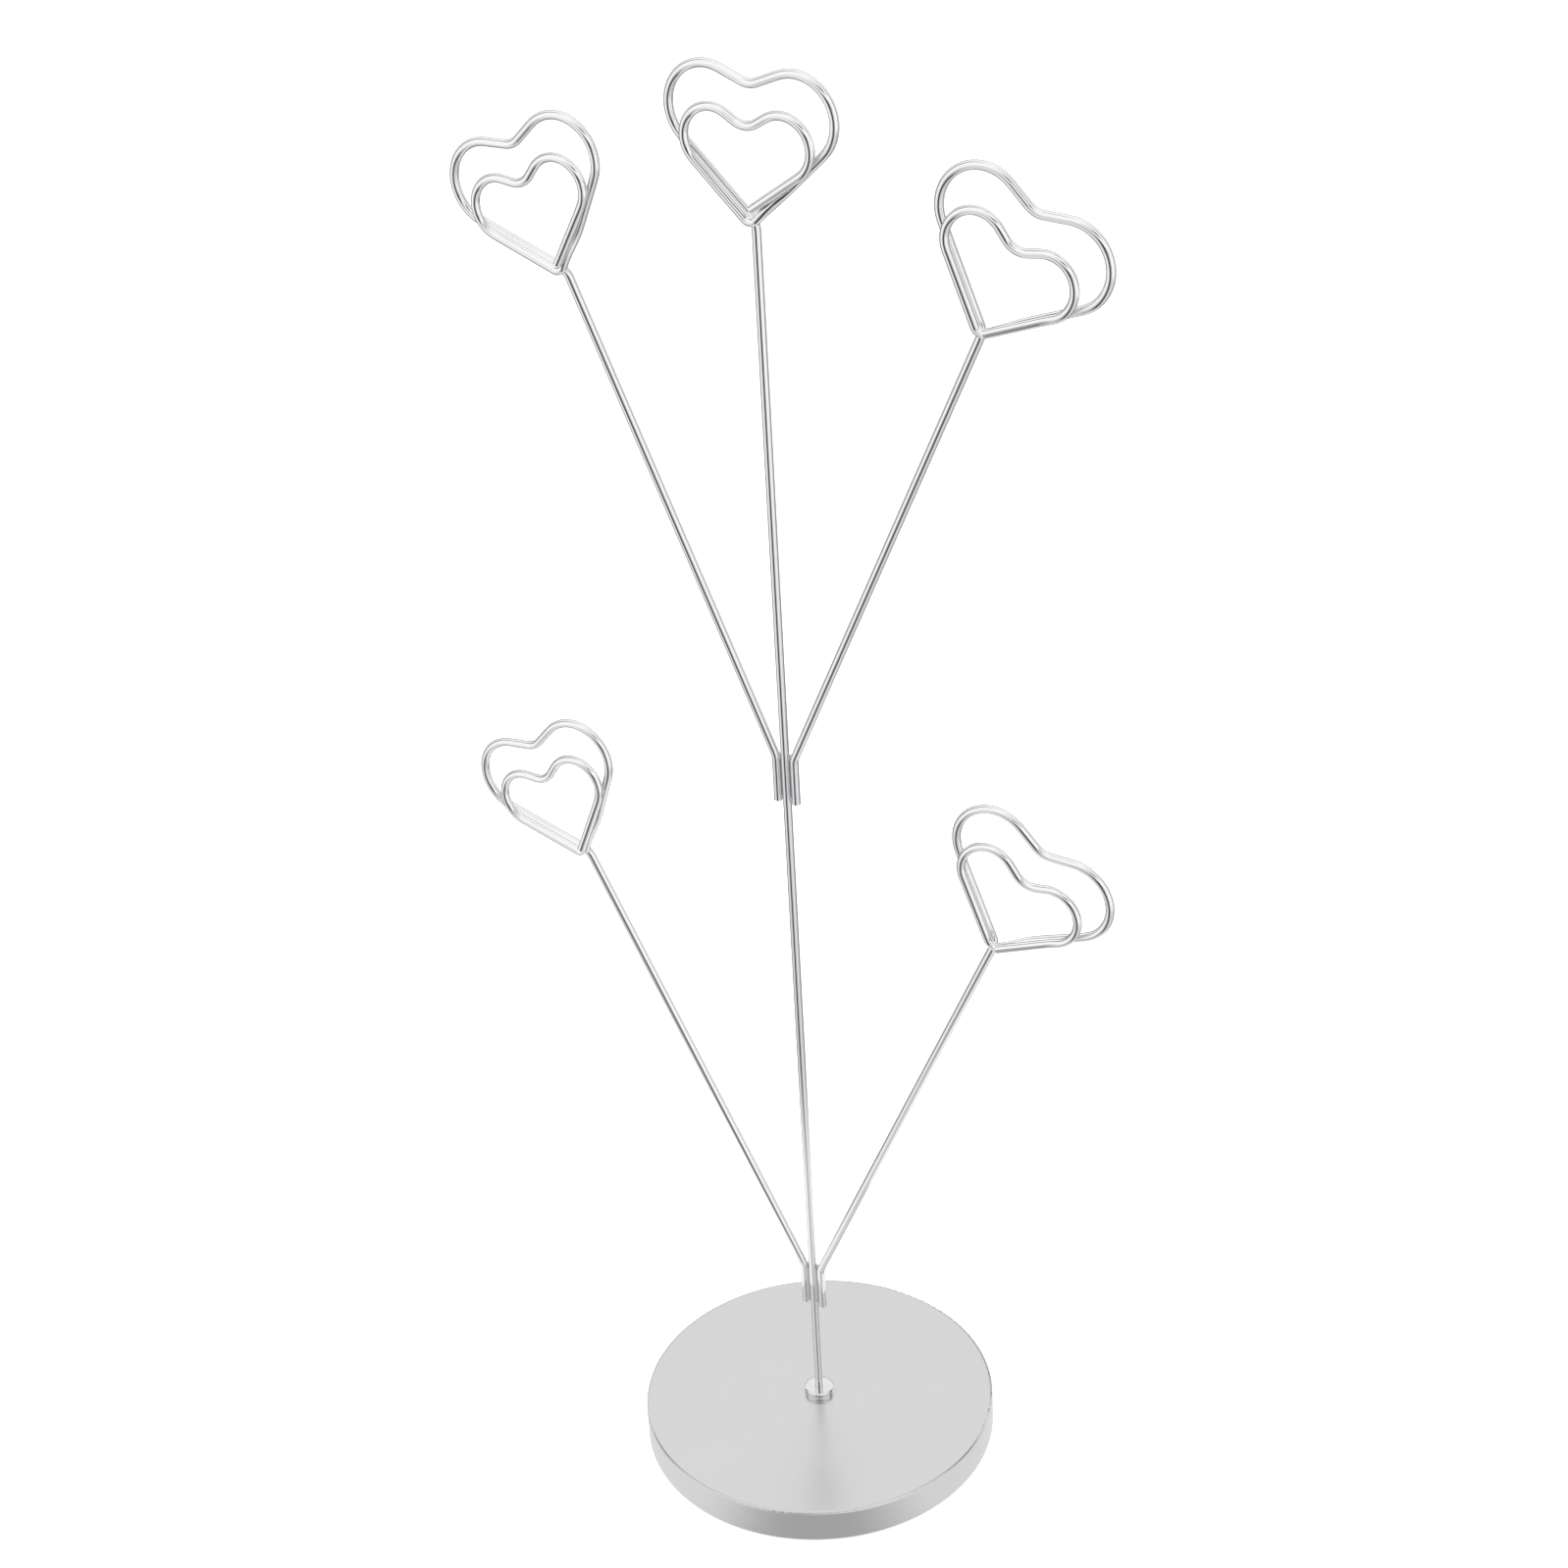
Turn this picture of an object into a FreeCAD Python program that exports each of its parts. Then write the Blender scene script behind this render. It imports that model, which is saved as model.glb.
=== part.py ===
import FreeCAD, Part
import math
import os

import Sketcher

# Photo tree stand. A weighted round base carries a stem of bright wire, and four arms of
# the same wire are brazed to it. Each of the five ends is bent into a large heart with a
# smaller heart sprung in front of it, and a photo is held between the two.
# Millimetres and degrees. +Z is up, the origin is the middle of the underside, the hearts
# lie along X and the small hearts face -Y.

Vector = FreeCAD.Vector

SIZES = (
    # base, from the floor up
    ("base_diameter", 90.0),
    ("base_height", 9.2),
    ("cover_sheet", 0.5),
    ("cover_rim_radius", 0.7),
    ("skirt_lift", 0.4),
    ("pad_thickness", 1.5),
    ("pad_inset", 1.5),
    ("weight_side_gap", 0.3),
    ("weight_chamfer", 1.0),
    # screwed stud, nut and washer
    ("thread_diameter", 4.0),
    ("thread_gap", 0.05),
    ("hole_gap", 0.2),
    ("stud_tip_gap", 0.8),
    ("stud_tip_chamfer", 0.4),
    ("nut_width", 7.0),
    ("nut_thickness", 3.2),
    ("nut_pocket_gap", 0.15),
    ("nut_recess", 0.3),
    ("collar_diameter", 7.6),
    ("collar_thickness", 1.2),
    ("collar_edge_radius", 0.5),
    ("collar_seat_radius", 0.3),
    ("washer_thickness", 0.6),
    ("washer_margin", 0.1),
    ("washer_edge_radius", 0.2),
    ("socket_depth", 5.0),
    ("socket_gap", 0.03),
    # wire, and where its five ends stand; the rises are above the top of the base
    ("wire_diameter", 2.0),
    ("foot_gap", 0.4),
    ("foot_length", 11.7),
    ("foot_bend_radius", 4.0),
    ("neck_bend_radius", 4.0),
    ("top_clip_rise", 317.5),
    ("upper_joint_rise", 189.6),
    ("upper_left_lean_angle", 23.2),
    ("upper_left_reach", 119.7),
    ("upper_right_lean_angle", 24.2),
    ("upper_right_reach", 123.0),
    ("lower_joint_rise", 41.2),
    ("lower_left_lean_angle", 27.3),
    ("lower_left_reach", 121.4),
    ("lower_right_lean_angle", 24.3),
    ("lower_right_reach", 124.4),
    # clips: the large heart behind and the small one in front share the V at the bottom
    ("v_half_angle", 46.0),
    ("v_bend_radius", 1.6),
    ("v_flat_length", 0.4),
    ("loop_gap", 0.2),
    ("jog_length", 10.0),
    ("rear_lobe_radius", 9.4),
    ("rear_lobe_spacing", 21.0),
    ("front_lobe_radius", 6.8),
    ("front_lobe_spacing", 16.8),
    ("dip_depth", 3.1),
    ("dip_bend_radius", 5.0),
    # free end of each small heart: how far up the V it stops, and where it lies round the
    # large heart's wire, from inside the V at 0 to in front of it at 90
    ("free_end_setback", 3.0),
    ("free_end_gap", 0.25),
    ("free_end_bend_setback", 1.5),
    ("top_free_end_angle", 10.0),
    ("upper_left_free_end_angle", 80.0),
    ("upper_right_free_end_angle", 78.0),
    ("lower_left_free_end_angle", 90.0),
    ("lower_right_free_end_angle", 75.0),
    # braze between a foot and the stem
    ("braze_length", 12.0),
    ("braze_rise", 0.6),
    ("braze_tip_length", 1.2),
    ("braze_diameter_share", 0.8),
    ("braze_tip_share", 0.5),
)

ARMS = (("upper_left", -1), ("upper_right", 1), ("lower_left", -1), ("lower_right", 1))
UP = Vector(0, 0, 1)
FRONT = Vector(0, -1, 0)
LEFT = Vector(-1, 0, 0)

document = FreeCAD.newDocument("photo_tree_stand")
sheet = document.addObject("Spreadsheet::Sheet", "Sizes")
for row, (name, value) in enumerate(SIZES, start=1):
    sheet.set("A%d" % row, name)
    sheet.set("B%d" % row, str(value))
    sheet.setAlias("B%d" % row, name)
document.recompute()


def size(name):
    return float(sheet.get(name))


def angle(name):
    return math.radians(size(name))


# Turned and pressed pieces of the base


def origin_plane(body, role):
    return next(item for item in body.Origin.OriginFeatures if item.Role == role)


def level_sketch(body, name, level):
    """Empty sketch on a level plane of the body, at a height that follows the sizes."""
    sketch = body.newObject("Sketcher::SketchObject", name)
    sketch.AttachmentSupport = [(origin_plane(body, "XY_Plane"), "")]
    sketch.MapMode = "FlatFace"
    sketch.setExpression("AttachmentOffset.Base.z", level)
    return sketch


def circle_sketch(body, name, level, diameter):
    """One circle about the stand's axis."""
    sketch = level_sketch(body, name, level)
    radius = float(sketch.evalExpression(diameter)) / 2
    sketch.addGeometry(Part.Circle(Vector(), UP, radius))
    sketch.addConstraint(Sketcher.Constraint("Coincident", 0, 3, -1, 1))
    sketch.addConstraint(Sketcher.Constraint("Diameter", 0, 2 * radius))
    sketch.renameConstraint(1, "diameter")
    sketch.setExpression("Constraints.diameter", diameter)
    return sketch


def hexagon_sketch(body, name, level, width):
    """Regular hexagon about the stand's axis, from its width across the flats."""
    sketch = level_sketch(body, name, level)
    corner_radius = "(%s) / sqrt(3)" % width
    radius = float(sketch.evalExpression(corner_radius))
    corners = [Vector(radius * math.cos(math.radians(60 * k)), radius * math.sin(math.radians(60 * k)))
               for k in range(6)]
    for k in range(6):
        sketch.addGeometry(Part.LineSegment(corners[k], corners[(k + 1) % 6]))
    circle = sketch.addGeometry(Part.Circle(Vector(), UP, radius), True)
    sketch.addConstraint(Sketcher.Constraint("Coincident", circle, 3, -1, 1))
    for k in range(6):
        sketch.addConstraint(Sketcher.Constraint("Coincident", k, 2, (k + 1) % 6, 1))
        sketch.addConstraint(Sketcher.Constraint("PointOnObject", k, 1, circle))
    for k in range(1, 6):
        sketch.addConstraint(Sketcher.Constraint("Equal", 0, k))
    sketch.addConstraint(Sketcher.Constraint("PointOnObject", 0, 1, -1))
    last = sketch.addConstraint(Sketcher.Constraint("Radius", circle, radius))
    sketch.renameConstraint(last, "corner_radius")
    sketch.setExpression("Constraints.corner_radius", corner_radius)
    return sketch


def pad(body, sketch, name, length, downwards=False):
    feature = body.newObject("PartDesign::Pad", name)
    feature.Profile = sketch
    feature.Reversed = downwards
    feature.setExpression("Length", length)
    document.recompute()
    return feature


def pocket(body, sketch, name, length, upwards=False):
    before = body.Shape.Volume
    feature = body.newObject("PartDesign::Pocket", name)
    feature.Profile = sketch
    feature.Reversed = upwards
    feature.setExpression("Length", length)
    document.recompute()
    if not body.Shape.Volume < before:
        raise RuntimeError("%s cuts nothing" % name)
    return feature


def ring_edges(shape, diameter, height):
    """Names of the full circles of a given diameter at a given height."""
    names = []
    for index, edge in enumerate(shape.Edges, start=1):
        curve = edge.Curve
        if not isinstance(curve, Part.Circle):
            continue
        level = edge.CenterOfMass.z
        if math.isclose(2 * curve.Radius, diameter, rel_tol=1e-6) and math.isclose(level, height, rel_tol=1e-6):
            names.append("Edge%d" % index)
    return names


def soften(body, kind, name, base, edges, prop, amount):
    """Fillet or chamfer on named edges."""
    feature = body.newObject("PartDesign::%s" % kind, name)
    feature.Base = (base, edges)
    feature.setExpression(prop, amount)
    document.recompute()
    return feature


def build_base_cover():
    """Pressed steel cap with a rounded rim, open underneath, with a hole for the stud."""
    body = document.addObject("PartDesign::Body", "base_cover")
    sheet_gap = size("cover_sheet")
    outline = circle_sketch(body, "cover_outline", "Sizes.skirt_lift", "Sizes.base_diameter")
    blank = pad(body, outline, "cover_blank", "Sizes.base_height - Sizes.skirt_lift")
    rim = ring_edges(blank.Shape, size("base_diameter"), size("base_height"))
    soften(body, "Fillet", "cover_rim", blank, rim, "Radius", "Sizes.cover_rim_radius")
    inside = circle_sketch(body, "cover_inside", "Sizes.skirt_lift", "Sizes.base_diameter - 2 * Sizes.cover_sheet")
    hollow = pocket(body, inside, "cover_hollow",
                    "Sizes.base_height - Sizes.skirt_lift - Sizes.cover_sheet", upwards=True)
    crease = ring_edges(hollow.Shape, size("base_diameter") - 2 * sheet_gap, size("base_height") - sheet_gap)
    soften(body, "Fillet", "cover_crease", hollow, crease, "Radius", "Sizes.cover_rim_radius - Sizes.cover_sheet")
    hole = circle_sketch(body, "cover_hole_outline", "Sizes.base_height",
                         "Sizes.thread_diameter + 2 * Sizes.hole_gap")
    pocket(body, hole, "cover_hole", "Sizes.cover_sheet")
    return body


def build_base_weight():
    """Cast disc that fills the cover, with the stud's hole and a hexagonal pocket for its nut."""
    body = document.addObject("PartDesign::Body", "base_weight")
    diameter = "Sizes.base_diameter - 2 * Sizes.cover_sheet - 2 * Sizes.weight_side_gap"
    thickness = "Sizes.base_height - Sizes.cover_sheet - Sizes.pad_thickness"
    outline = circle_sketch(body, "weight_outline", "Sizes.pad_thickness", diameter)
    disc = pad(body, outline, "weight_disc", thickness)
    width = size("base_diameter") - 2 * size("cover_sheet") - 2 * size("weight_side_gap")
    top = size("base_height") - size("cover_sheet")
    edges = ring_edges(disc.Shape, width, top) + ring_edges(disc.Shape, width, size("pad_thickness"))
    soften(body, "Chamfer", "weight_edges", disc, edges, "Size", "Sizes.weight_chamfer")
    hole = circle_sketch(body, "weight_hole_outline", "Sizes.base_height - Sizes.cover_sheet",
                         "Sizes.thread_diameter + 2 * Sizes.hole_gap")
    pocket(body, hole, "weight_hole", thickness)
    nut_seat = hexagon_sketch(body, "nut_pocket_outline", "Sizes.pad_thickness",
                              "Sizes.nut_width + 2 * Sizes.nut_pocket_gap")
    pocket(body, nut_seat, "nut_pocket", "Sizes.nut_thickness + Sizes.nut_recess", upwards=True)
    return body


def build_base_pad():
    """Soft disc under the weight, which the stand rests on."""
    body = document.addObject("PartDesign::Body", "base_pad")
    outline = circle_sketch(body, "pad_outline", "0",
                            "Sizes.base_diameter - 2 * (Sizes.cover_sheet + Sizes.weight_side_gap + Sizes.pad_inset)")
    pad(body, outline, "pad_disc", "Sizes.pad_thickness")
    return body


def build_base_nut():
    """Hex nut held in the pocket, against its roof."""
    body = document.addObject("PartDesign::Body", "base_nut")
    outline = hexagon_sketch(body, "nut_outline", "Sizes.pad_thickness + Sizes.nut_recess", "Sizes.nut_width")
    pad(body, outline, "nut_blank", "Sizes.nut_thickness")
    hole = circle_sketch(body, "nut_hole_outline", "Sizes.pad_thickness + Sizes.nut_recess + Sizes.nut_thickness",
                         "Sizes.thread_diameter + 2 * Sizes.thread_gap")
    pocket(body, hole, "nut_hole", "Sizes.nut_thickness")
    return body


def build_stem_washer():
    """Thin washer between the collar and the cover."""
    body = document.addObject("PartDesign::Body", "stem_washer")
    outline = circle_sketch(body, "washer_outline", "Sizes.base_height",
                            "Sizes.collar_diameter + 2 * Sizes.washer_margin")
    disc = pad(body, outline, "washer_disc", "Sizes.washer_thickness")
    edge = ring_edges(disc.Shape, size("collar_diameter") + 2 * size("washer_margin"),
                      size("base_height") + size("washer_thickness"))
    soften(body, "Fillet", "washer_edge", disc, edge, "Radius", "Sizes.washer_edge_radius")
    hole = circle_sketch(body, "washer_hole_outline", "Sizes.base_height + Sizes.washer_thickness",
                         "Sizes.thread_diameter + 2 * Sizes.hole_gap")
    pocket(body, hole, "washer_hole", "Sizes.washer_thickness")
    return body


def build_stem_collar():
    """Domed flange and threaded stud in one piece, with the socket that the stem is brazed into."""
    body = document.addObject("PartDesign::Body", "stem_collar")
    seat = "Sizes.base_height + Sizes.washer_thickness"
    top = seat + " + Sizes.collar_thickness"
    shank_length = seat + " - Sizes.pad_thickness - Sizes.stud_tip_gap"
    shank = circle_sketch(body, "shank_outline", seat, "Sizes.thread_diameter")
    stud = pad(body, shank, "shank", shank_length, downwards=True)
    tip = ring_edges(stud.Shape, size("thread_diameter"), size("pad_thickness") + size("stud_tip_gap"))
    soften(body, "Chamfer", "shank_tip", stud, tip, "Size", "Sizes.stud_tip_chamfer")
    flange_outline = circle_sketch(body, "flange_outline", seat, "Sizes.collar_diameter")
    flange = pad(body, flange_outline, "flange", "Sizes.collar_thickness")
    seat_height = size("base_height") + size("washer_thickness")
    edge = ring_edges(flange.Shape, size("collar_diameter"), seat_height + size("collar_thickness"))
    domed = soften(body, "Fillet", "flange_edge", flange, edge, "Radius", "Sizes.collar_edge_radius")
    under_edge = ring_edges(domed.Shape, size("collar_diameter"), seat_height)
    soften(body, "Fillet", "flange_under_edge", domed, under_edge, "Radius", "Sizes.collar_seat_radius")
    socket = circle_sketch(body, "socket_outline", top, "Sizes.wire_diameter + 2 * Sizes.socket_gap")
    pocket(body, socket, "socket", "Sizes.socket_depth")
    return body


# Bent wire. A route is worked out in its clip's own frame: the corner of the V is the
# origin, +Z runs on in line with the arm and -Y is the front.


class WireRoute:
    """Centre line of one bent wire: straight runs joined by round bends."""

    def __init__(self, start):
        self.start = start
        self.tip = start
        self.runs = []

    def straight(self, end):
        self.runs.append(Part.LineSegment(self.tip, end).toShape())
        self.tip = end

    def bend(self, middle, end):
        self.runs.append(Part.Arc(self.tip, middle, end).toShape())
        self.tip = end

    def corner(self, corner, onward, setback, run_in=True):
        """Rounds a corner with the arc that starts and ends a setback from it."""
        back = (self.tip - corner).normalize()
        ahead = (onward - corner).normalize()
        half_turn = (math.pi - back.getAngle(ahead)) / 2
        radius = setback / math.tan(half_turn)
        towards = (back + ahead).normalize()
        middle = corner + towards * (radius / math.cos(half_turn) - radius)
        if run_in:
            self.straight(corner + back * setback)
        self.bend(middle, corner + ahead * setback)

    def wire(self):
        return Part.Wire(self.runs)

    def length(self):
        return sum(run.Length for run in self.runs)


def slant(side):
    """Direction of the V's leg on one side, upwards: side is -1 for left and 1 for right."""
    v_angle = angle("v_half_angle")
    return Vector(side * math.sin(v_angle), 0, math.cos(v_angle))


class Heart:
    """Sizes that follow from a heart's lobe radius and spacing, at one depth."""

    def __init__(self, which, depth):
        v_angle = angle("v_half_angle")
        self.radius = size("%s_lobe_radius" % which)
        self.across = size("%s_lobe_spacing" % which) / 2
        self.height = (self.across * math.cos(v_angle) + self.radius) / math.sin(v_angle)
        self.depth = depth
        dip_radius = size("dip_bend_radius")
        rise = self.radius - size("dip_depth") + dip_radius
        self.dip_height = self.height + rise
        reach = math.hypot(self.across, rise)
        self.foot_angle = -v_angle
        self.crest_angle = math.atan2(rise, -self.across) - math.acos((self.radius + dip_radius) / reach)

    def on_lobe(self, side, turn):
        """Point of a lobe, by the angle about its centre from the outside upwards."""
        return Vector(side * (self.across + self.radius * math.cos(turn)), self.depth,
                      self.height + self.radius * math.sin(turn))

    def on_dip(self, side):
        """Point where the slope from a lobe meets the bend of the dip."""
        dip_radius = size("dip_bend_radius")
        return Vector(-side * dip_radius * math.cos(self.crest_angle), self.depth,
                      self.dip_height - dip_radius * math.sin(self.crest_angle))

    def over_the_top(self, route, leave_angle):
        """Left lobe, dip and right lobe, from the left leg's end to an angle on the right lobe."""
        route.bend(self.on_lobe(-1, (self.foot_angle + self.crest_angle) / 2), self.on_lobe(-1, self.crest_angle))
        route.straight(self.on_dip(-1))
        route.bend(Vector(0, self.depth, self.dip_height - size("dip_bend_radius")), self.on_dip(1))
        route.straight(self.on_lobe(1, self.crest_angle))
        route.bend(self.on_lobe(1, (leave_angle + self.crest_angle) / 2), self.on_lobe(1, leave_angle))


def front_depth():
    """Depth of the small heart's plane; the large heart's is zero."""
    return -(size("wire_diameter") + size("loop_gap"))


def v_bend(side):
    """The V's rounded corner on one side: its bend's start on the leg, its middle and its end."""
    v_angle = angle("v_half_angle")
    radius = size("v_bend_radius")
    half_flat = size("v_flat_length") / 2
    centre = Vector(side * half_flat, front_depth(), (half_flat * math.cos(v_angle) + radius) / math.sin(v_angle))

    def point(turn):
        return centre + Vector(side * math.sin(turn), 0, -math.cos(turn)) * radius

    full_turn = math.pi / 2 - v_angle
    return point(full_turn), point(full_turn / 2), point(0)


def jog(route, end):
    """Shifts the wire from the large heart's plane to the small one's with two equal bends."""
    start = route.tip
    along = Vector(end.x - start.x, 0, end.z - start.z)
    shift = abs(end.y - start.y)
    setback = (along.Length ** 2 + shift ** 2) / (4 * along.Length)
    along.normalize()
    middle = (start + end) / 2
    route.corner(start + along * setback, middle, setback, run_in=False)
    route.corner(end - along * setback, end, setback, run_in=False)


def rear_route(lead_in):
    """Large heart of a clip, after the points that lead in to the V from below."""
    heart = Heart("rear", 0)
    route = WireRoute(lead_in[0])
    if len(lead_in) > 1:
        turn = math.pi - (lead_in[0] - lead_in[1]).getAngle(Vector() - lead_in[1])
        route.corner(lead_in[1], Vector(), size("foot_bend_radius") * math.tan(turn / 2))
    neck_setback = size("neck_bend_radius") * math.tan(angle("v_half_angle") / 2)
    route.corner(Vector(), slant(-1), neck_setback)
    route.straight(heart.on_lobe(-1, heart.foot_angle))
    heart.over_the_top(route, heart.foot_angle)
    bend_start, bend_middle, bend_end = v_bend(1)
    leg_end = bend_start + slant(1) * size("jog_length")
    route.straight(Vector(leg_end.x, 0, leg_end.z))
    jog(route, bend_start)
    route.bend(bend_middle, bend_end)
    route.straight(Vector(0, bend_end.y, bend_end.z))
    return route


def front_route(free_end_angle):
    """Small heart of a clip, from the middle of the V round to its free end."""
    depth = front_depth()
    heart = Heart("front", depth)
    bend_start, bend_middle, bend_end = v_bend(-1)
    route = WireRoute(Vector(0, depth, bend_end.z))
    route.straight(bend_end)
    route.bend(bend_middle, bend_start)
    route.straight(heart.on_lobe(-1, heart.foot_angle))
    leg = slant(1)
    inwards = Vector(-leg.z, 0, leg.x)
    distance = size("wire_diameter") + size("free_end_gap")
    inset = leg * size("free_end_setback") + inwards * distance * math.cos(free_end_angle)
    to_centre = Vector(heart.across - inset.x, 0, heart.height - inset.z)
    leave_angle = (math.atan2(to_centre.z, to_centre.x) - math.asin(heart.radius / to_centre.Length)
                   - math.pi / 2)
    heart.over_the_top(route, leave_angle)
    free_end = Vector(inset.x, depth - distance * math.sin(free_end_angle), inset.z)
    setback = size("free_end_bend_setback")
    downwards = Vector(free_end.x - route.tip.x, 0, free_end.z - route.tip.z).normalize()
    route.corner(route.tip + downwards * setback, free_end, setback, run_in=False)
    route.straight(free_end)
    return route


def bent_wire(label, route, facing):
    """Round wire along a route."""
    centre_line = document.addObject("Part::Feature", label + "_centre_line")
    centre_line.Shape = route.wire()
    section = document.addObject("Part::Circle", label + "_section")
    section.setExpression("Radius", "Sizes.wire_diameter / 2")
    section.Placement = FreeCAD.Placement(route.start, FreeCAD.Rotation(UP, facing))
    wire = document.addObject("Part::Sweep", label)
    wire.Sections = [section]
    wire.Spine = (centre_line, ["Edge%d" % (index + 1) for index in range(len(route.runs))])
    wire.Solid = True
    wire.Frenet = False
    document.recompute()
    expected = math.pi * size("wire_diameter") ** 2 / 4 * route.length()
    if not math.isclose(wire.Shape.Volume, expected, rel_tol=2e-3):
        raise RuntimeError("%s has %.2f mm3 and not %.2f" % (label, wire.Shape.Volume, expected))
    return wire


def stand_on_stem(wire):
    """Puts a piece of the top clip at its height on the stem."""
    wire.setExpression("Placement.Base.z", "Sizes.base_height + Sizes.top_clip_rise")


def stand_on_arm(wire, arm, side):
    """Puts a piece of an arm's clip at the arm's end, in line with the arm."""
    row = arm.split("_")[0]
    values = {"arm": arm, "row": row, "side": side}
    wire.Placement = FreeCAD.Placement(Vector(), FreeCAD.Rotation(Vector(0, 1, 0), side * size(arm + "_lean_angle")))
    wire.setExpression("Placement.Base.x",
                       "%(side)d * (Sizes.wire_diameter + Sizes.foot_gap"
                       " + Sizes.%(arm)s_reach * sin(Sizes.%(arm)s_lean_angle * 1deg))" % values)
    wire.setExpression("Placement.Base.z",
                       "Sizes.base_height + Sizes.%(row)s_joint_rise"
                       " + Sizes.%(arm)s_reach * cos(Sizes.%(arm)s_lean_angle * 1deg)" % values)
    wire.setExpression("Placement.Rotation.Angle", "%(side)d * Sizes.%(arm)s_lean_angle * 1deg" % values)


def build_stem_wire():
    """Stem and the large heart of the top clip, one wire, seated on the floor of the collar's socket."""
    socket_rise = size("washer_thickness") + size("collar_thickness") - size("socket_depth")
    wire = bent_wire("stem_wire", rear_route([Vector(0, 0, socket_rise - size("top_clip_rise"))]), UP)
    stand_on_stem(wire)
    return wire


def build_arm(arm, side):
    """Foot, arm and large heart, one wire."""
    lean = side * angle(arm + "_lean_angle")
    knee = Vector(0, 0, -size(arm + "_reach"))
    foot_direction = Vector(math.sin(lean), 0, -math.cos(lean))
    foot_end = knee + foot_direction * size("foot_length")
    wire = bent_wire("arm_" + arm, rear_route([foot_end, knee]), foot_direction * -1)
    stand_on_arm(wire, arm, side)
    return wire


def build_front_loop(place):
    """Small heart of one clip."""
    return bent_wire("loop_" + place, front_route(angle(place + "_free_end_angle")), LEFT)


def braze_piece(kind, name, side, bottom, amounts):
    """Round piece of the braze, upright between the stem and the foot on one side."""
    piece = document.addObject("Part::" + kind, name)
    for prop, amount in amounts.items():
        piece.setExpression(prop, amount)
    piece.setExpression("Placement.Base.x", "%d * (Sizes.wire_diameter + Sizes.foot_gap) / 2" % side)
    piece.setExpression("Placement.Base.z", bottom)
    return piece


def build_weld(arm, side, arm_wire, stem_wire):
    """Braze between a foot and the stem: a round column with tapered ends, less the two wires."""
    row = arm.split("_")[0]
    bottom = "Sizes.base_height + Sizes.%s_joint_rise - Sizes.foot_length + Sizes.braze_rise" % row
    full = "Sizes.wire_diameter * Sizes.braze_diameter_share / 2"
    narrow = full + " * Sizes.braze_tip_share"
    taper = "Sizes.braze_tip_length"
    column = document.addObject("Part::MultiFuse", "braze_" + arm)
    column.Shapes = [
        braze_piece("Cone", "braze_bottom_" + arm, side, bottom,
                    {"Radius1": narrow, "Radius2": full, "Height": taper}),
        braze_piece("Cylinder", "braze_middle_" + arm, side, bottom + " + " + taper,
                    {"Radius": full, "Height": "Sizes.braze_length - 2 * Sizes.braze_tip_length"}),
        braze_piece("Cone", "braze_top_" + arm, side, bottom + " + Sizes.braze_length - " + taper,
                    {"Radius1": full, "Radius2": narrow, "Height": taper})]
    clear_of_stem = document.addObject("Part::Cut", "braze_%s_against_stem" % arm)
    clear_of_stem.Base = column
    clear_of_stem.Tool = stem_wire
    weld = document.addObject("Part::Cut", "weld_" + arm)
    weld.Base = clear_of_stem
    weld.Tool = arm_wire
    document.recompute()
    return weld


def build_tree():
    stem_wire = build_stem_wire()
    top_loop = build_front_loop("top")
    stand_on_stem(top_loop)
    pieces = [stem_wire, top_loop]
    document.recompute()
    for arm, side in ARMS:
        arm_wire = build_arm(arm, side)
        loop = build_front_loop(arm)
        stand_on_arm(loop, arm, side)
        document.recompute()
        pieces += [arm_wire, loop, build_weld(arm, side, arm_wire, stem_wire)]
    return pieces


def check_and_export(pieces):
    document.recompute()
    for item in document.Objects:
        if "Invalid" in item.State or "Error" in item.State:
            raise RuntimeError("%s is %s" % (item.Label, item.State))
    for piece in pieces:
        if piece.Shape.isNull() or not piece.Shape.isValid():
            raise RuntimeError("%s has no valid shape" % piece.Label)
    os.makedirs("parts", exist_ok=True)
    for piece in pieces:
        piece.Shape.exportStep(os.path.join("parts", piece.Label + ".step"))
        box = piece.Shape.BoundBox
        print("%-18s %2d solid %9.2f mm3  x %7.2f %7.2f  y %6.2f %6.2f  z %7.2f %7.2f" % (
            piece.Label, len(piece.Shape.Solids), piece.Shape.Volume,
            box.XMin, box.XMax, box.YMin, box.YMax, box.ZMin, box.ZMax))


check_and_export([build_base_cover(), build_base_weight(), build_base_pad(), build_base_nut(),
                  build_stem_washer(), build_stem_collar()] + build_tree())
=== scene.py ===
import math

import bpy
from mathutils import Matrix, Vector

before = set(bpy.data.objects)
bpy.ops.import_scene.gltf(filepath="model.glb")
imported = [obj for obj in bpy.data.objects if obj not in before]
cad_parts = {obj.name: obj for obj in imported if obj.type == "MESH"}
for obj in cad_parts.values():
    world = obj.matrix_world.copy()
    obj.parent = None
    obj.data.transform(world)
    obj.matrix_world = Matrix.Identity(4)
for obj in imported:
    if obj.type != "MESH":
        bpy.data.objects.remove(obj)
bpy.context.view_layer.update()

MM = 0.001

# Camera of the photograph, fitted to points picked on it. Angles are in degrees, and the sensor's
# width is in the millimetres that a camera takes.
PHOTO_PIXELS = 1598
PHOTO_AZIMUTH = 32.343
PHOTO_ELEVATION = 29.928
PHOTO_ROLL = -3.132
PHOTO_DISTANCE = 694.30 * MM
PHOTO_FOCAL_PIXELS = 3073.0
AIM_ACROSS = -0.581 * MM
AIM_HEIGHT = 191.780 * MM
SENSOR_WIDTH = 36.0
NEAREST_IN_VIEW = 20.0 * MM

# Phase in radians that a wave texture adds in each unit of length at scale 1.
WAVE_NODE_PHASE = 20.0

SMOOTH = {"interpolation_type": "SMOOTHSTEP"}

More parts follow.
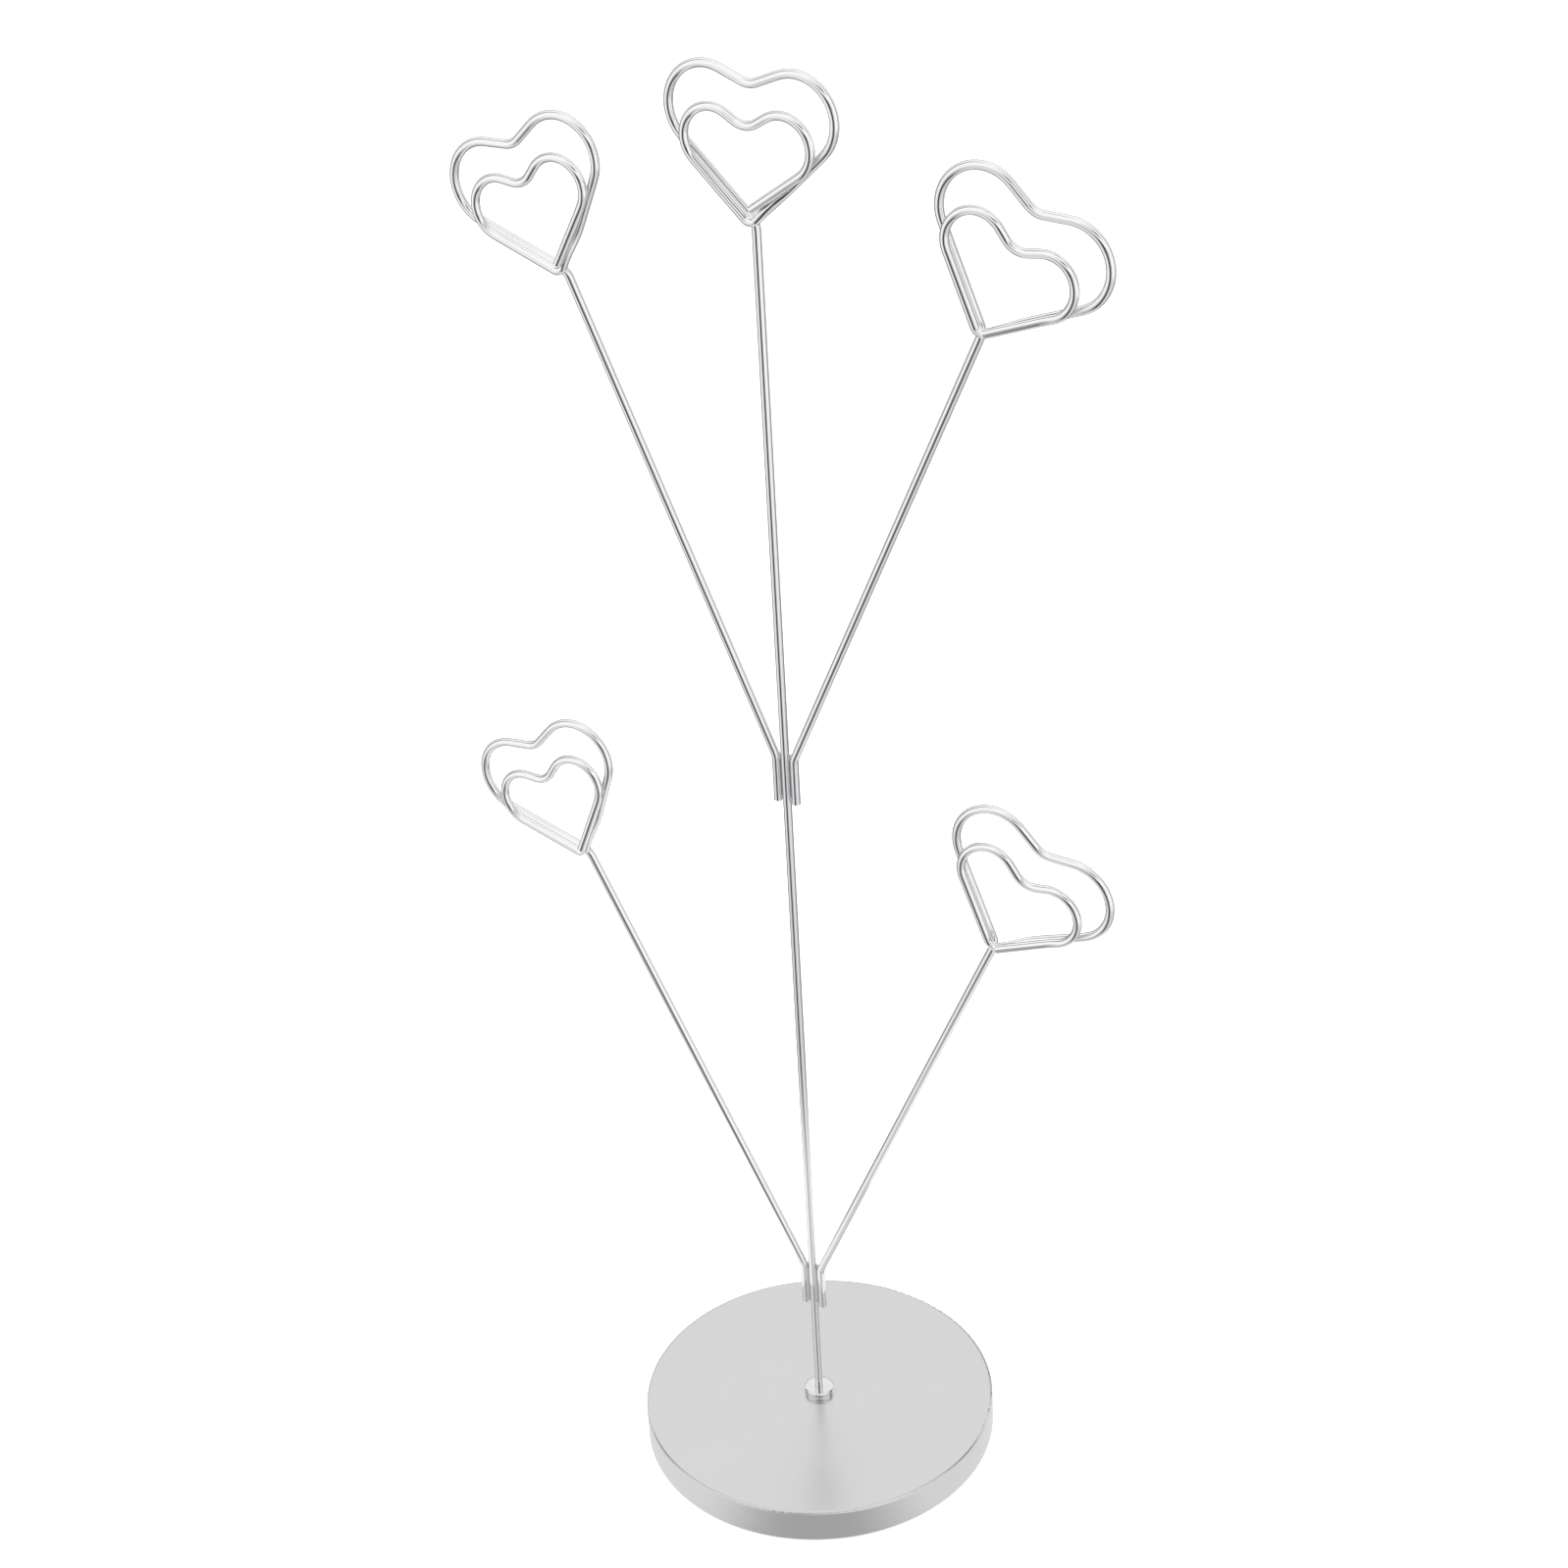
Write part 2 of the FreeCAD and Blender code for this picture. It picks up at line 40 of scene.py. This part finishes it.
# Studio. The stand is shot in a white tent, and bright metal shows the gaps in it as streaks.
# Each gap has its compass angle up to the horizon, how far it turns from there to overhead, a
# half width and a softness of its edge, all in degrees, and the shade behind it.
TENT_WHITE = "#FFFFFF"
TENT_LIGHT = 0.55
FRONT_GAPS = (
    (8.0, 36.0, 32.0, 32.0, "#A6A6A8"),     # folds of the cloth round the opening in front
    (8.0, 36.0, 12.0, 12.0, "#1A1A1C"),     # the opening, dark inside
)
SEAMS = (
    (128.0, 0.0, 11.0, 12.0, "#6E6E70"),    # on the right, towards the back
    (-80.0, 0.0, 11.0, 14.0, "#848486"),    # on the left
)

# The front gaps close a little above the horizon, but for the slot that the camera looks
# through. Heights here are those of a direction, 0 at the horizon and 1 overhead.
CLOSING_FROM = 0.12
CLOSING_TO = 0.34
SLOT_HEIGHT = 0.667
SLOT_HALF_HEIGHT = 0.09
SLOT_SOFTNESS = 0.10

# The tent is darker low down, and behind the stand it ends in a grey backdrop, which draws the
# edges of the wires.
TENT_LOW = "#DCDCDD"
LOW_FROM = -0.35
LOW_TO = -0.60
BACKDROP_AZIMUTH = 212.0
BACKDROP_ELEVATION = -25.0
BACKDROP_RADIUS = 47.0
BACKDROP_SOFTNESS = 12.0
BACKDROP_SHADE = "#707072"

# Bright metal sees the paper near the stand as a fixed glow, with painted shade in front where
# the camera would keep the light off, and past it the tent. Angles are compass angles on the paper.
PAPER_IN_METAL = "#F6F6F6"
PAPER_PAINTED_SHADE = "#BDBDBE"
FRONT_AZIMUTH = 29.0
FRONT_HALF_WIDTH = 27.0
FRONT_SOFTNESS = 38.0
PAPER_NEAR = 90.0 * MM
PAPER_FAR = 170.0 * MM
PAPER_GLOW = 0.5
PAPER_REACH = 12.0      # half the sheet's side, in metres

# Lamps behind the tent's cloth: name, place, height that it is aimed at over the base's middle,
# width and height, all in metres, and power in watts.
SOFT_BOXES = (
    ("soft_box_left", (-0.75, -0.55, 0.95), 0.12, (0.7, 0.7), 5.0),
    ("soft_box_right", (0.95, -0.1, 0.8), 0.12, (0.6, 0.8), 3.5),
    ("soft_box_above", (0.0, 0.3, 1.1), 0.1, (0.9, 0.6), 4.0),
)

PLATED_WIRES = ("stem_wire",
                "arm_upper_left", "arm_upper_right", "arm_lower_left", "arm_lower_right", "loop_top",
                "loop_upper_left", "loop_upper_right", "loop_lower_left", "loop_lower_right")
BRAZED_JOINTS = ("weld_upper_left", "weld_upper_right", "weld_lower_left", "weld_lower_right")


def linear(hex_colour):
    """Linear colour with alpha from an sRGB hex value such as #D7D7D7."""
    channels = [int(hex_colour[i:i + 2], 16) / 255 for i in (1, 3, 5)]
    return [c / 12.92 if c <= 0.04045 else ((c + 0.055) / 1.055) ** 2.4 for c in channels] + [1.0]


def add_node(tree, kind, settings=None, **sockets):
    """Adds a shader node. A socket's value is a constant or the output that it takes; _0 is the
    first socket, and an underscore in a name stands for a space."""
    node = tree.nodes.new("ShaderNode" + kind)
    for name, value in (settings or {}).items():
        setattr(node, name, value)
    for name, value in sockets.items():
        key = int(name[1:]) if name[0] == "_" else name.replace("_", " ")
        socket = node.inputs[key]
        if isinstance(value, bpy.types.NodeSocket):
            tree.links.new(value, socket)
        else:
            socket.default_value = value
    return node


def new_material(name):
    """Empty material, its tree, and the place in metres that its patterns are laid out on."""
    material = bpy.data.materials.new(name)
    material.use_nodes = True
    tree = material.node_tree
    tree.nodes.clear()
    return material, tree, add_node(tree, "TexCoord").outputs["Object"]


def per_mm(size):
    """Scale of a pattern with marks of this size in millimetres."""
    return 1.0 / (size * MM)


def bright_chrome_wire():
    """Drawn steel wire with bright chrome plate: a mirror that shows the tent as white and its
    gaps as dark streaks along the wire, which waver where the bending left it uneven."""
    material, tree, place = new_material("bright_chrome_on_drawn_steel_wire")
    uneven = add_node(tree, "TexNoise", Vector=place, Scale=per_mm(7.0), Detail=1.0)
    wavering = add_node(tree, "Bump", Height=uneven.outputs["Fac"], Distance=0.010 * MM)
    cloud = add_node(tree, "TexNoise", Vector=place, Scale=per_mm(4.0), Detail=2.0)
    polish = add_node(tree, "MapRange", Value=cloud.outputs["Fac"], To_Min=0.03, To_Max=0.07)
    plate = add_node(tree, "BsdfPrincipled", Base_Color=linear("#F8F8F9"), Metallic=1.0,
                     Roughness=polish.outputs["Result"], Normal=wavering.outputs["Normal"])
    add_node(tree, "OutputMaterial", Surface=plate.outputs["BSDF"])
    return material


def satin_nickel_cover():
    """Pressed steel with satin nickel plate, blasted before plating: even silver with a soft
    reflection of the stem, and a grain that is 0.05 mm in fact and drawn at 0.25 mm to show."""
    material, tree, place = new_material("satin_nickel_on_pressed_steel")
    blasted = add_node(tree, "TexNoise", Vector=place, Scale=per_mm(0.25), Detail=3.0)
    grain = add_node(tree, "Bump", Height=blasted.outputs["Fac"], Distance=0.002 * MM)
    handled = add_node(tree, "TexNoise", Vector=place, Scale=per_mm(18.0), Detail=3.0)
    sheen = add_node(tree, "MapRange", Value=handled.outputs["Fac"], To_Min=0.24, To_Max=0.31)
    plate = add_node(tree, "BsdfPrincipled", Base_Color=linear("#DADADA"), Metallic=1.0,
                     Roughness=sheen.outputs["Result"], Normal=grain.outputs["Normal"])
    add_node(tree, "OutputMaterial", Surface=plate.outputs["BSDF"])
    return material


def plated_turned_steel():
    """Turned steel collar and its washer with bright plate: shinier than the cover, with the
    fine rings that the tool left, 0.08 mm apart in fact and drawn at 0.2 mm."""
    material, tree, place = new_material("bright_plate_on_turned_steel")
    scale = 2 * math.pi / (0.2 * MM) / WAVE_NODE_PHASE
    rings = add_node(tree, "TexWave", {"wave_type": "RINGS", "rings_direction": "Z"}, Vector=place,
                     Scale=scale, Distortion=0.0)
    turned = add_node(tree, "Bump", Height=rings.outputs["Fac"], Distance=0.0006 * MM)
    plate = add_node(tree, "BsdfPrincipled", Base_Color=linear("#E6E6E7"), Metallic=1.0,
                     Roughness=0.05, Normal=turned.outputs["Normal"])
    add_node(tree, "OutputMaterial", Surface=plate.outputs["BSDF"])
    return material


def plated_braze():
    """Silver braze under the plate: dull grey, lumpy where it froze."""
    material, tree, place = new_material("plated_silver_braze")
    froze = add_node(tree, "TexNoise", Vector=place, Scale=per_mm(0.8), Detail=3.0, Roughness=0.6)
    lumps = add_node(tree, "Bump", Height=froze.outputs["Fac"], Distance=0.08 * MM)
    pitted = add_node(tree, "TexNoise", Vector=place, Scale=per_mm(0.4), Detail=2.0)
    pits = add_node(tree, "MapRange", Value=pitted.outputs["Fac"], To_Min=0.2, To_Max=0.45)
    plate = add_node(tree, "BsdfPrincipled", Base_Color=linear("#D2D2D3"), Metallic=1.0,
                     Roughness=pits.outputs["Result"], Normal=lumps.outputs["Normal"])
    add_node(tree, "OutputMaterial", Surface=plate.outputs["BSDF"])
    return material


def foam_rubber():
    """Die-cut foam rubber: matt charcoal with 0.4 mm cells."""
    material, tree, place = new_material("die_cut_foam_rubber")
    cells = add_node(tree, "TexVoronoi", Vector=place, Scale=per_mm(0.4))
    pores = add_node(tree, "Bump", Height=cells.outputs["Distance"], Distance=0.08 * MM)
    cloud = add_node(tree, "TexNoise", Vector=place, Scale=per_mm(6.0), Detail=4.0)
    shade = add_node(tree, "MixRGB", Fac=cloud.outputs["Fac"], Color1=linear("#1C1C1D"),
                     Color2=linear("#2A2A2B"))
    rubber = add_node(tree, "BsdfPrincipled", Base_Color=shade.outputs["Color"], Roughness=0.92,
                      Normal=pores.outputs["Normal"])
    add_node(tree, "OutputMaterial", Surface=rubber.outputs["BSDF"])
    return material


def raw_cast_iron():
    """Sand-cast iron, not machined: dark grey with a 0.8 mm sand texture."""
    material, tree, place = new_material("sand_cast_iron")
    sand = add_node(tree, "TexNoise", Vector=place, Scale=per_mm(0.8), Detail=5.0, Roughness=0.7)
    rough = add_node(tree, "Bump", Height=sand.outputs["Fac"], Distance=0.15 * MM)
    cloud = add_node(tree, "TexNoise", Vector=place, Scale=per_mm(5.0), Detail=4.0)
    shade = add_node(tree, "MixRGB", Fac=cloud.outputs["Fac"], Color1=linear("#3A3A3C"),
                     Color2=linear("#58585A"))
    iron = add_node(tree, "BsdfPrincipled", Base_Color=shade.outputs["Color"], Metallic=1.0,
                    Roughness=0.7, Normal=rough.outputs["Normal"])
    add_node(tree, "OutputMaterial", Surface=iron.outputs["BSDF"])
    return material


def zinc_plated_steel():
    """Cold-formed nut with clear zinc plate: bluish silver, half dull."""
    material, tree, place = new_material("clear_zinc_on_cold_formed_steel")
    spangle = add_node(tree, "TexNoise", Vector=place, Scale=per_mm(1.2), Detail=3.0)
    dull = add_node(tree, "MapRange", Value=spangle.outputs["Fac"], To_Min=0.3, To_Max=0.45)
    plate = add_node(tree, "BsdfPrincipled", Base_Color=linear("#C3C8CE"), Metallic=1.0,
                     Roughness=dull.outputs["Result"])
    add_node(tree, "OutputMaterial", Surface=plate.outputs["BSDF"])
    return material


def finish_nodes(names, material):
    """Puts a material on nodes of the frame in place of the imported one."""
    for name in names:
        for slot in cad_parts[name].material_slots:
            slot.material = material


def finish_all_nodes():
    """Gives every node the material that the real piece is made of."""
    finish_nodes(PLATED_WIRES, bright_chrome_wire())
    finish_nodes(BRAZED_JOINTS, plated_braze())
    finish_nodes(("stem_collar", "stem_washer"), plated_turned_steel())
    finish_nodes(("base_cover",), satin_nickel_cover())
    finish_nodes(("base_weight",), raw_cast_iron())
    finish_nodes(("base_pad",), foam_rubber())
    finish_nodes(("base_nut",), zinc_plated_steel())


def towards(azimuth, elevation):
    """Unit vector at a compass angle and an elevation in degrees. The compass angle is 0 in front
    and 90 on the right."""
    azimuth, elevation = math.radians(azimuth), math.radians(elevation)
    return Vector((math.sin(azimuth) * math.cos(elevation), -math.cos(azimuth) * math.cos(elevation),
                   math.sin(elevation)))


def compass(tree, direction):
    """Split of a direction, and its compass angle in radians."""
    split = add_node(tree, "SeparateXYZ", Vector=direction)
    forwards = add_node(tree, "Math", {"operation": "MULTIPLY"}, _0=split.outputs["Y"], _1=-1.0)
    angle = add_node(tree, "Math", {"operation": "ARCTAN2"}, _0=split.outputs["X"],
                     _1=forwards.outputs["Value"])
    return split, angle.outputs["Value"]


def band(tree, value, middle, half_width, softness, inside=1.0):
    """Goes from inside to 0 over a soft edge where a value is half a width off the middle."""
    apart = add_node(tree, "Math", {"operation": "SUBTRACT"}, _0=value, _1=middle)
    distance = add_node(tree, "Math", {"operation": "ABSOLUTE"}, _0=apart.outputs["Value"])
    edge = add_node(tree, "MapRange", SMOOTH, Value=distance.outputs["Value"],
                    From_Min=half_width - softness / 2, From_Max=half_width + softness / 2,
                    To_Min=inside, To_Max=0.0)
    return edge.outputs["Result"]


def tent_walls(tree, direction):
    """Colour of the tent in a direction: white, darker low down, with its backdrop and its gaps."""
    split, angle = compass(tree, direction)
    low = add_node(tree, "MapRange", SMOOTH, Value=split.outputs["Z"],
                   From_Min=LOW_TO, From_Max=LOW_FROM, To_Min=1.0, To_Max=0.0)
    cloth = add_node(tree, "MixRGB", Fac=low.outputs["Result"], Color1=linear(TENT_WHITE),
                     Color2=linear(TENT_LOW))
    facing = add_node(tree, "VectorMath", {"operation": "DOT_PRODUCT"}, _0=direction,
                      _1=towards(BACKDROP_AZIMUTH, BACKDROP_ELEVATION))
    behind = add_node(tree, "MapRange", SMOOTH, Value=facing.outputs["Value"],
                      From_Min=math.cos(math.radians(BACKDROP_RADIUS + BACKDROP_SOFTNESS / 2)),
                      From_Max=math.cos(math.radians(BACKDROP_RADIUS - BACKDROP_SOFTNESS / 2)))
    backdrop = add_node(tree, "MixRGB", Fac=behind.outputs["Result"], Color1=cloth.outputs["Color"],
                        Color2=linear(BACKDROP_SHADE))
    below = add_node(tree, "MapRange", SMOOTH, Value=split.outputs["Z"],
                     From_Min=CLOSING_FROM, From_Max=CLOSING_TO, To_Min=1.0, To_Max=0.0)
    slot = band(tree, split.outputs["Z"], SLOT_HEIGHT, SLOT_HALF_HEIGHT, SLOT_SOFTNESS)
    opened = add_node(tree, "Math", {"operation": "MAXIMUM"}, _0=below.outputs["Result"], _1=slot)
    height = add_node(tree, "Math", {"operation": "MAXIMUM"}, _0=split.outputs["Z"], _1=0.0)
    gaps = [gap + (opened.outputs["Value"],) for gap in FRONT_GAPS] + [gap + (1.0,) for gap in SEAMS]
    colour = backdrop.outputs["Color"]
    for azimuth, turn, half_width, softness, shade, shown in gaps:
        middle = add_node(tree, "Math", {"operation": "MULTIPLY_ADD"}, _0=height.outputs["Value"],
                          _1=math.radians(turn), _2=math.radians(azimuth))
        edge = band(tree, angle, middle.outputs["Value"], math.radians(half_width),
                    math.radians(softness), inside=shown)
        wall = add_node(tree, "MixRGB", Fac=edge, Color1=colour, Color2=linear(shade))
        colour = wall.outputs["Color"]
    return colour


def light_tent():
    """World: plain white behind the stand, and for bright metal a white tent with gaps."""
    world = bpy.data.worlds.new("light_tent")
    bpy.context.scene.world = world
    world.use_nodes = True
    tree = world.node_tree
    tree.nodes.clear()
    walls = tent_walls(tree, add_node(tree, "TexCoord").outputs["Generated"])
    path = add_node(tree, "LightPath")
    lit = add_node(tree, "Background", Color=linear(TENT_WHITE), Strength=TENT_LIGHT)
    reflected = add_node(tree, "Background", Color=walls, Strength=1.0)
    seen = add_node(tree, "Background", Color=linear(TENT_WHITE), Strength=1.0)
    in_metal = add_node(tree, "MixShader", _0=path.outputs["Is Glossy Ray"],
                        _1=lit.outputs["Background"], _2=reflected.outputs["Background"])
    behind = add_node(tree, "MixShader", _0=path.outputs["Is Camera Ray"],
                      _1=in_metal.outputs["Shader"], _2=seen.outputs["Background"])
    add_node(tree, "OutputWorld", Surface=behind.outputs["Shader"])


def white_paper():
    """Glowing matt white paper; bright metal sees it only near the stand, as a glow with painted
    shade.
    """
    material, tree, place = new_material("matt_white_paper")
    pulp = add_node(tree, "BsdfDiffuse", Color=linear("#F4F4F4"))
    glow = add_node(tree, "Emission", Color=linear(TENT_WHITE), Strength=PAPER_GLOW)
    sheet = add_node(tree, "AddShader", _0=pulp.outputs["BSDF"], _1=glow.outputs["Emission"])
    away = add_node(tree, "VectorMath", {"operation": "LENGTH"}, _0=place)
    far = add_node(tree, "MapRange", SMOOTH, Value=away.outputs["Value"],
                   From_Min=PAPER_NEAR, From_Max=PAPER_FAR)
    # Painted shade: for bright metal the paper is darker in a band in front of the stand.
    _, angle = compass(tree, place)
    painted_shade_mask = band(tree, angle, math.radians(FRONT_AZIMUTH), math.radians(FRONT_HALF_WIDTH),
                 math.radians(FRONT_SOFTNESS))
    shade = add_node(tree, "MixRGB", Fac=painted_shade_mask, Color1=linear(PAPER_IN_METAL),
                     Color2=linear(PAPER_PAINTED_SHADE))
    # Bright metal sees this fixed glow in place of the lit paper, so no cast shadow shows in it.
    near = add_node(tree, "Emission", Color=shade.outputs["Color"], Strength=1.0)
    through = add_node(tree, "BsdfTransparent")
    in_metal = add_node(tree, "MixShader", _0=far.outputs["Result"], _1=near.outputs["Emission"],
                        _2=through.outputs["BSDF"])
    path = add_node(tree, "LightPath")
    paper = add_node(tree, "MixShader", _0=path.outputs["Is Glossy Ray"],
                     _1=sheet.outputs["Shader"], _2=in_metal.outputs["Shader"])
    add_node(tree, "OutputMaterial", Surface=paper.outputs["Shader"])
    return material


def paper_floor():
    corners = [(x * PAPER_REACH, y * PAPER_REACH, 0) for x, y in ((-1, -1), (1, -1), (1, 1), (-1, 1))]
    mesh = bpy.data.meshes.new("paper_floor")
    mesh.from_pydata(corners, [], [(0, 1, 2, 3)])
    mesh.materials.append(white_paper())
    floor = bpy.data.objects.new("paper_floor", mesh)
    bpy.context.collection.objects.link(floor)


def soft_boxes():
    """Lamps that light matt things. Metal sees the cloth in front of them instead."""
    for name, place, aim_height, size, watts in SOFT_BOXES:
        lamp = bpy.data.lights.new(name, "AREA")
        lamp.shape = "RECTANGLE"
        lamp.size, lamp.size_y = size
        lamp.energy = watts
        holder = bpy.data.objects.new(name, lamp)
        bpy.context.collection.objects.link(holder)
        holder.location = place
        aim = Vector((0, 0, aim_height)) - Vector(place)
        holder.rotation_euler = aim.to_track_quat("-Z", "Y").to_euler()
        holder.visible_glossy = False


def photo_camera():
    """Camera where the photograph was taken from, turned about its view as that one was."""
    azimuth, roll = math.radians(PHOTO_AZIMUTH), math.radians(PHOTO_ROLL)
    back = towards(PHOTO_AZIMUTH, PHOTO_ELEVATION)
    level = Vector((math.cos(azimuth), math.sin(azimuth), 0))
    aim = level * AIM_ACROSS + Vector((0, 0, AIM_HEIGHT))
    upright = level.cross(-back)
    right = level * math.cos(roll) + upright * math.sin(roll)
    up = upright * math.cos(roll) - level * math.sin(roll)
    camera = bpy.data.cameras.new("photo_camera")
    camera.sensor_fit = "HORIZONTAL"
    camera.sensor_width = SENSOR_WIDTH
    camera.lens = SENSOR_WIDTH * PHOTO_FOCAL_PIXELS / PHOTO_PIXELS
    camera.clip_start = NEAREST_IN_VIEW
    holder = bpy.data.objects.new("photo_camera", camera)
    bpy.context.collection.objects.link(holder)
    pose = Matrix((right, up, back)).transposed().to_4x4()
    pose.translation = aim + back * PHOTO_DISTANCE
    holder.matrix_world = pose
    bpy.context.scene.camera = holder


photo_camera()
finish_all_nodes()
light_tent()
paper_floor()
soft_boxes()
bpy.context.scene.view_settings.view_transform = "Standard"
